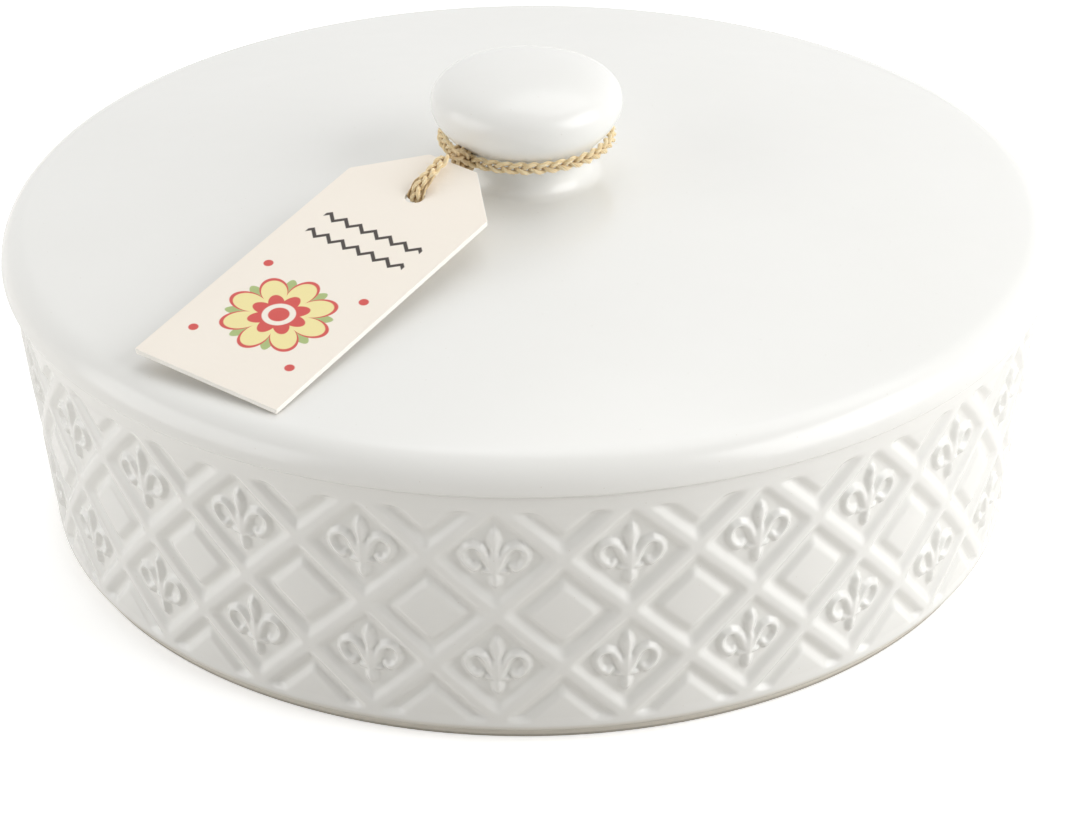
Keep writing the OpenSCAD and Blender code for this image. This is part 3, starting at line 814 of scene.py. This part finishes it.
def twineTree():
    # Plaits plies along a path, twists strands into each ply, sweeps them, and adds short loose fibres.
    tree, given, result = newTree("twistedTwine", {
        "Step": ("Float", 0.0004), "Plies": ("Int", 2), "Ply Offset": ("Float", 0.0006),
        "Pitch": ("Float", 0.009), "Tilt": ("Float", 0.0), "Strands": ("Int", 7),
        "Strand Offset": ("Float", 0.0004),
        "Strand Pitch": ("Float", -0.006), "Strand Radius": ("Float", 0.00025), "Wander": ("Float", 0.5),
        "Sides": ("Int", 6), "Shade": ("Float", 0.0),
        "Hair Density": ("Float", 5e4), "Hair Length": ("Float", 0.0016), "Hair Radius": ("Float", 0.00003),
        "Seed": ("Int", 1), "Material": ("Material", None)})
    size = given.outputs
    path = addNode(tree, "GeometryNodeMeshToCurve", {0: size["Geometry"]}).outputs[0]
    path = addNode(tree, "GeometryNodeResampleCurve", {"Curve": path, "Length": size["Step"]},
                   mode="LENGTH").outputs[0]
    path = addNode(tree, "GeometryNodeSetCurveNormal", {"Curve": path}, mode="MINIMUM_TWIST").outputs[0]
    path = addNode(tree, "GeometryNodeSetCurveTilt", {"Curve": path, "Tilt": size["Tilt"]}).outputs[0]
    plies, ply = layCopies(tree, path, size["Plies"], size["Ply Offset"], size["Pitch"], twine["plyWander"],
                           size["Seed"], True)
    plies = addNode(tree, "GeometryNodeSetCurveTilt", {"Curve": plies, "Tilt": 0.0}).outputs[0]
    plies = keep(tree, plies, "tone", ply)
    strands, strand = layCopies(tree, plies, size["Strands"], size["Strand Offset"], size["Strand Pitch"],
                                size["Wander"], size["Seed"], False)
    plyTone = addNode(tree, "GeometryNodeInputNamedAttribute", {"Name": "tone"}, data_type="FLOAT").outputs[0]
    tone = calc(tree, "FRACT", plus(tree, times(tree, strand, 17.3), times(tree, plyTone, 5.7)))
    strands = keep(tree, strands, "tone", tone)
    strands = keep(tree, strands, "along", addNode(tree, "GeometryNodeSplineParameter").outputs["Length"])
    thick = addNode(tree, "ShaderNodeTexNoise", {"W": times(tree, tone, 50.0), "Scale": 300.0},
                    noise_dimensions="4D").outputs["Fac"]
    radius = plus(tree, 0.6, times(tree, thick, 0.8))
    strands = addNode(tree, "GeometryNodeSetCurveRadius", {"Curve": strands, "Radius": radius}).outputs[0]
    ring = addNode(tree, "GeometryNodeCurvePrimitiveCircle",
                   {"Resolution": size["Sides"], "Radius": size["Strand Radius"]}).outputs[0]
    ring = keep(tree, ring, "around", addNode(tree, "GeometryNodeSplineParameter").outputs["Factor"])
    body = sweep(tree, strands, ring)
    body = addNode(tree, "GeometryNodeSetShadeSmooth", {0: body}).outputs[0]
    away = addNode(tree, "GeometryNodeProximity", {0: size["Geometry"]},
                   target_element="EDGES").outputs["Distance"]
    body = keep(tree, body, "depth", times(tree, away, 1 / mm))      # mm from the middle of the twine
    body = keep(tree, body, "shade", size["Shade"])
    points = addNode(tree, "GeometryNodeDistributePointsOnFaces", {
        "Mesh": body, "Density": size["Hair Density"], "Seed": size["Seed"]})
    long = size["Hair Length"]
    middle, tip = (addNode(tree, "ShaderNodeCombineXYZ", {
        "X": times(tree, long, x), "Z": times(tree, long, z)}).outputs[0] for x, z in ((0.25, 0.4), (1.0, 0.5)))
    hair = addNode(tree, "GeometryNodeCurveQuadraticBezier",
                   {"Resolution": 4, "Start": (0, 0, 0), "Middle": middle, "End": tip}).outputs[0]
    thin = addNode(tree, "GeometryNodeCurvePrimitiveCircle",
                   {"Resolution": 3, "Radius": size["Hair Radius"]}).outputs[0]
    hair = keep(tree, sweep(tree, hair, thin), "depth", 1.0)
    spin = addNode(tree, "FunctionNodeRandomValue", {2: 0.0, 3: 6.283, "Seed": size["Seed"]},
                   data_type="FLOAT").outputs[1]
    local = addNode(tree, "FunctionNodeAxisAngleToRotation", {"Axis": (0, 0, 1), "Angle": spin}).outputs[0]
    facing = addNode(tree, "FunctionNodeRotateRotation",
                     {"Rotation": points.outputs["Rotation"], "Rotate By": local},
                     rotation_space="LOCAL").outputs[0]
    lengths = addNode(tree, "FunctionNodeRandomValue",
                      {2: 0.35, 3: 1.15, "Seed": plus(tree, size["Seed"], 7.0)}, data_type="FLOAT").outputs[1]
    hairs = addNode(tree, "GeometryNodeInstanceOnPoints", {
        "Points": points.outputs[0], "Instance": hair, "Rotation": facing, "Scale": lengths}).outputs[0]
    both = tree.nodes.new("GeometryNodeJoinGeometry")
    tree.links.new(hairs, both.inputs[0])
    tree.links.new(body, both.inputs[0])
    real = addNode(tree, "GeometryNodeRealizeInstances", {0: both.outputs[0]}).outputs[0]
    done = addNode(tree, "GeometryNodeSetMaterial", {"Geometry": real, "Material": size["Material"]}).outputs[0]
    tree.links.new(done, result.inputs[0])
    return tree


jute = makeJute()
layTwine = twineTree()


def smoothPath(points, steps):
    # Points on a smooth curve through the given ones.
    p = [Vector(q) for q in points]
    out = []
    for i in range(len(p) - 1):
        a, b, c, d = p[max(i - 1, 0)], p[i], p[i + 1], p[min(i + 2, len(p) - 1)]
        for j in range(steps):
            t = j / steps
            square, cube = 2 * a - 5 * b + 4 * c - d, 3 * b - a - 3 * c + d
            out.append(b + t / 2 * ((c - a) + t * (square + t * cube)))
    return out + [p[-1]]


def makeTwine(name, paths, seed, scale=1.0, tilt=0.0, shade=0.0):
    # One mesh of twine along paths in metres; each path is (points, closed).
    points, edges = [], []
    for line, closed in paths:
        first = len(points)
        points += [tuple(q) for q in line]
        edges += [(first + i, first + i + 1) for i in range(len(line) - 1)]
        if closed:
            edges.append((len(points) - 1, first))
    mesh = bpy.data.meshes.new(name)
    mesh.from_pydata(points, edges, [])
    source = bpy.data.objects.new(name + "Path", mesh)
    scene.collection.objects.link(source)
    thin = mm * scale
    made = runTree(source, layTwine, {
        "Step": twine["step"] * mm, "Plies": twine["plies"], "Ply Offset": twine["plyOffset"] * thin,
        "Pitch": twine["pitch"] * mm, "Tilt": math.radians(tilt), "Strands": twine["strands"],
        "Strand Offset": twine["strandOffset"] * thin, "Strand Pitch": twine["strandPitch"] * mm,
        "Strand Radius": twine["strandRadius"] * thin, "Wander": twine["wander"], "Sides": twine["sides"],
        "Shade": shade, "Hair Density": twine["hairDensity"] * 1e6, "Hair Length": twine["hairLength"] * mm,
        "Hair Radius": twine["hairRadius"] * mm, "Seed": seed, "Material": jute}, name)
    print(name + ":", len(made.polygons), "faces")
    return made


def joined(name, meshes, material):
    b = bmesh.new()
    for mesh in meshes:
        b.from_mesh(mesh)
    mesh = meshes[0]
    b.to_mesh(mesh)
    b.free()
    mesh.name = name
    return makeObject(name, mesh, material)


def loopPoint(turn, away=0.0, up=0.0):
    a = math.radians(turn)
    r = knot["loopRadius"] + away
    return Vector((r * math.sin(a), -r * math.cos(a), knot["loopHeight"] + up)) * mm


def makeLoop():
    ring = [loopPoint(a) for a in np.arange(0, 360, 2.0)]
    loop = makeTwine("neckLoop", [(ring, True)], knot["seeds"]["loop"], tilt=knot["loopTilt"])
    centre = loopPoint(knot["turn"])
    along = (loopPoint(knot["turn"] + 1) - loopPoint(knot["turn"] - 1)).normalized()
    outward = Vector((centre.x, centre.y, 0)).normalized()
    holeAt = Vector(tag["hole"]) * mm
    toHole = Vector((holeAt.x - centre.x, holeAt.y - centre.y, 0)).normalized()
    tieStart = centre + (toHole * knot["tail"] + Vector((0, 0, knot["tailRise"]))) * mm
    wrap = []
    for t in np.linspace(0, 1, 40):
        a = math.radians(150 - 360 * knot["wraps"] * t)
        spoke = outward * math.cos(a) + Vector((0, 0, 1)) * math.sin(a)
        wrap.append(centre + spoke * knot["wrapRadius"] * mm + along * (t - 0.5) * knot["wrapLength"] * mm)
    tail = [wrap[-1], wrap[-1].lerp(tieStart, 0.45) + Vector((0, 0, 0.5 * mm)), tieStart]    # towards the tag
    wraps = makeTwine("knotWraps", [(wrap[:-1] + smoothPath(tail, 6), False)], knot["seeds"]["wraps"],
                      scale=knot["wrapScale"], shade=knot["wrapShade"])
    return joined("neckTwine", [loop, wraps], jute)


neckTwine = makeLoop()
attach(neckTwine, "twine")
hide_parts("twine_loop")



def makeTie():
    tie, *strays = ([smoothPath(onTag(route), 5), False] for route in [tieRoute] + strayRoutes)
    return joined("tagTie", [makeTwine("tagTie", [tie], knot["seeds"]["tie"], scale=knot["tieScale"]),
                             makeTwine("strays", strays, knot["seeds"]["strays"],
                                       scale=knot["strayScale"])], jute)


tieTwine = makeTie()
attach(tieTwine, "tag")
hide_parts("tag_string")


studio = {
    "floor": (0.70, 0.68, 0.65), "floorSeen": (0.93, 0.93, 0.93), "floorWhite": 0.44, "farWhite": 0.7,
    "farStart": 0.7, "farEnd": 1.8, "lookHeight": 0.05,
    "skyFront": 0.03, "skyBack": 0.61, "frontColour": (1.0, 0.93, 0.80), "backColour": (1.0, 1.0, 0.99),
    "lamps": {      # azimuth from +X towards +Y, elevation, distance, width, height, power
        "rightLamp": (-22, 25, 1.3, 1.1, 1.0, 12.6),
        "leftLamp": (198, 13, 1.3, 1.3, 1.0, 9.0),
        "topLamp": (55, 68, 1.5, 1.3, 1.1, 6.0),
    },
}


def makeFloor():
    mesh = makeMesh("floor", [(-3, -3, 0), (3, -3, 0), (3, 3, 0), (-3, 3, 0)], [(0, 1, 2, 3)])
    material, tree, surface = newMaterial("floor")
    surface.inputs["Roughness"].default_value = 0.9
    surface.inputs["Specular IOR Level"].default_value = 0.1
    camera, seen = outerRays(tree)
    tree.links.new(blended(tree, camera, studio["floor"], studio["floorSeen"]), surface.inputs["Base Color"])
    surface.inputs["Emission Color"].default_value = (1, 1, 1, 1)
    # Far from the piece the floor runs out into the white behind it.
    place = addNode(tree, "ShaderNodeTexCoord").outputs["Object"]
    away = addNode(tree, "ShaderNodeVectorMath", {0: place}, operation="LENGTH").outputs["Value"]
    far = ranged(tree, away, (studio["farStart"], studio["farEnd"]), (0.0, studio["farWhite"]))
    glow = plus(tree, times(tree, seen, studio["floorWhite"]), times(tree, camera, far))
    tree.links.new(glow, surface.inputs["Emission Strength"])
    makeObject("floor", mesh, material, smooth=False)


def makeLamp(name, azimuth, elevation, distance, width, height, power):
    data = bpy.data.lights.new(name, "AREA")
    data.shape, data.size, data.size_y, data.energy = "RECTANGLE", width, height, power
    lamp = bpy.data.objects.new(name, data)
    a, e = math.radians(azimuth), math.radians(elevation)
    away = Vector((math.cos(a) * math.cos(e), math.sin(a) * math.cos(e), math.sin(e)))
    lamp.location = Vector((0, 0, studio["lookHeight"])) + away * distance
    lamp.rotation_euler = away.to_track_quat("Z", "Y").to_euler()
    scene.collection.objects.link(lamp)


def makeWorld():
    # Soft light that is stronger from behind; the camera sees plain white.
    world = bpy.data.worlds.new("studio")
    scene.world = world
    world.use_nodes = True
    tree = world.node_tree
    tree.nodes.clear()
    around = addNode(tree, "ShaderNodeTexCoord").outputs["Generated"]
    towards = addNode(tree, "ShaderNodeSeparateXYZ", {0: around})
    back = ranged(tree, towards.outputs["Y"], (-1.0, 0.45), interpolation_type="SMOOTHSTEP")
    tint = blended(tree, back, studio["frontColour"], studio["backColour"])
    strength = plus(tree, studio["skyFront"], times(tree, back, studio["skyBack"] - studio["skyFront"]))
    light = addNode(tree, "ShaderNodeBackground", {"Color": tint, "Strength": strength})
    white = addNode(tree, "ShaderNodeBackground", {"Color": (1, 1, 1, 1), "Strength": 1.0})
    seen = outerRays(tree)[1]
    both = addNode(tree, "ShaderNodeMixShader", {0: seen, 1: light.outputs[0], 2: white.outputs[0]})
    addNode(tree, "ShaderNodeOutputWorld", {"Surface": both.outputs[0]})


makeFloor()
for lampName, lamp in studio["lamps"].items():
    makeLamp(lampName, *lamp)
makeWorld()
print("studio lit")
